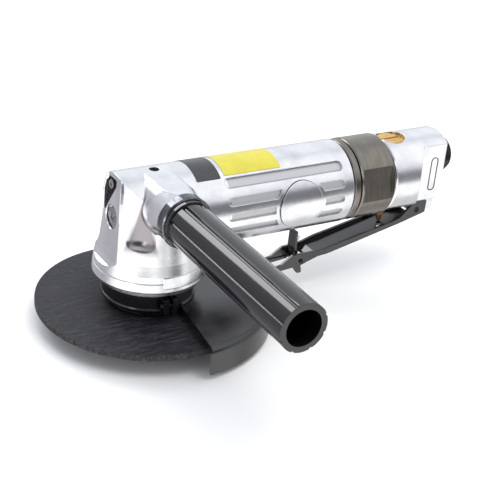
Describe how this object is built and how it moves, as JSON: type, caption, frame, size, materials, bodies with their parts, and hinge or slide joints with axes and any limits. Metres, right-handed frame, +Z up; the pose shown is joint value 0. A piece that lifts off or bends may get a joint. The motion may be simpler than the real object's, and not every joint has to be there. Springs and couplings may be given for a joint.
{
  "type": "air angle grinder",
  "caption": "Lever-throttle air angle grinder with a cast angle head, side handle, steel wheel guard and a flat abrasive wheel",
  "frame": {"origin": "centre of the spindle's free end face, on the spindle's axis", "axes": "+X from the spindle towards the air inlet, along the motor; -Y towards the side handle; +Z up the spindle, from the wheel towards the head"},
  "size_m": [0.2405, 0.2046, 0.0855],
  "materials": {
    "cast_alloy": "satin lacquered casting",
    "satin_steel": "satin machined steel",
    "dark_steel": "dark oxidised steel",
    "bright_steel": "polished hardened steel",
    "brass": "turned brass",
    "gunmetal": "dark bronze-grey plating, satin",
    "black_paint": "black stoved enamel on steel",
    "black_rubber": "matt rubber",
    "black_plastic": "glossy black plastic",
    "abrasive": "bonded abrasive grain, matt",
    "bronze": "sintered bronze",
    "vane_resin": "laminated resin cloth, matt",
    "gauze": "woven wire"
  },
  "bodies": {
    "housing": {"main_housing": "cast_alloy", "exhaust_plate": "black_paint", "exhaust_screw": "satin_steel", "front_plug": "satin_steel", "bearing_cap": "satin_steel", "cap_screws": "dark_steel", "upper_bush": "bronze", "lower_bearing_outer": "bright_steel", "lower_bearing_balls": "bright_steel", "seal_ring": "black_rubber", "motor_cylinder": "satin_steel", "front_end_plate": "satin_steel", "rear_end_plate": "satin_steel", "dowel_pins": "bright_steel", "front_bearing_outer": "bright_steel", "front_bearing_balls": "bright_steel", "rear_bearing_outer": "bright_steel", "rear_bearing_balls": "bright_steel", "motor_spacer": "satin_steel", "index_ring": "gunmetal", "joint_seal": "black_rubber", "clamp_nut": "gunmetal", "valve_housing": "cast_alloy", "valve_plug": "brass", "plug_seal": "black_rubber", "valve_seat": "brass", "stem_bushing": "brass", "valve_spring": "bright_steel", "inlet_bushing": "dark_steel", "inlet_strainer": "gauze", "lever_pin": "satin_steel", "handle_collar": "satin_steel", "handle_bolt": "dark_steel", "side_handle": "black_plastic"},
    "spindle_set": {"spindle": "bright_steel", "lower_bearing_inner": "bright_steel", "bevel_gear": "dark_steel", "gear_key": "dark_steel", "gear_ring": "dark_steel", "inner_flange": "dark_steel", "grinding_wheel": "abrasive", "wheel_nut": "dark_steel"},
    "rotor_set": {"rotor": "satin_steel", "rotor_vanes": "vane_resin", "bevel_pinion": "dark_steel", "pinion_key": "dark_steel", "front_bearing_inner": "bright_steel", "rear_bearing_inner": "bright_steel"},
    "guard_set": {"guard": "black_paint", "guard_band": "black_paint", "band_screw": "dark_steel", "band_nut": "dark_steel"},
    "lever_set": {"throttle_lever": "black_paint", "catch_pin": "satin_steel"},
    "catch_set": {"safety_catch": "black_paint", "catch_spring": "bright_steel"},
    "valve_set": {"valve_stem": "brass", "valve_poppet": "black_rubber"}
  },
  "joints": [
    {"name": "spindle_spin", "type": "hinge", "parent": "housing", "child": "spindle_set", "pos_m": [0, 0, 0], "axis": [0, 0, 1], "continuous": true},
    {"name": "rotor_spin", "type": "hinge", "parent": "housing", "child": "rotor_set", "pos_m": [0, 0, 0.0625], "axis": [1, 0, 0], "continuous": true},
    {"name": "guard_swivel", "type": "hinge", "parent": "housing", "child": "guard_set", "pos_m": [0, 0, 0], "axis": [0, 0, 1], "continuous": true},
    {"name": "lever_squeeze", "type": "hinge", "parent": "housing", "child": "lever_set", "pos_m": [0.1645, 0, 0.039], "axis": [0, 1, 0], "range_deg": [0, 8], "stiffness_Nm_per_rad": 2, "springref_deg": -5.73},
    {"name": "catch_flip", "type": "hinge", "parent": "lever_set", "child": "catch_set", "pos_m": [0.0901, 0, 0.0192], "axis": [0, -1, 0], "range_deg": [0, 62.5]},
    {"name": "valve_slide", "type": "slide", "parent": "housing", "child": "valve_set", "axis": [0, 0, 1], "range_m": [0, 0.003], "deforming": ["valve_spring"]}
  ],
  "couplings": [
    {"joint": "rotor_spin", "follows": "spindle_spin", "ratio": 1.9091},
    {"joint": "catch_flip", "follows": "lever_squeeze", "ratio": 7.75},
    {"joint": "valve_slide", "follows": "lever_squeeze", "m_per_rad": 0.02}
  ]
}
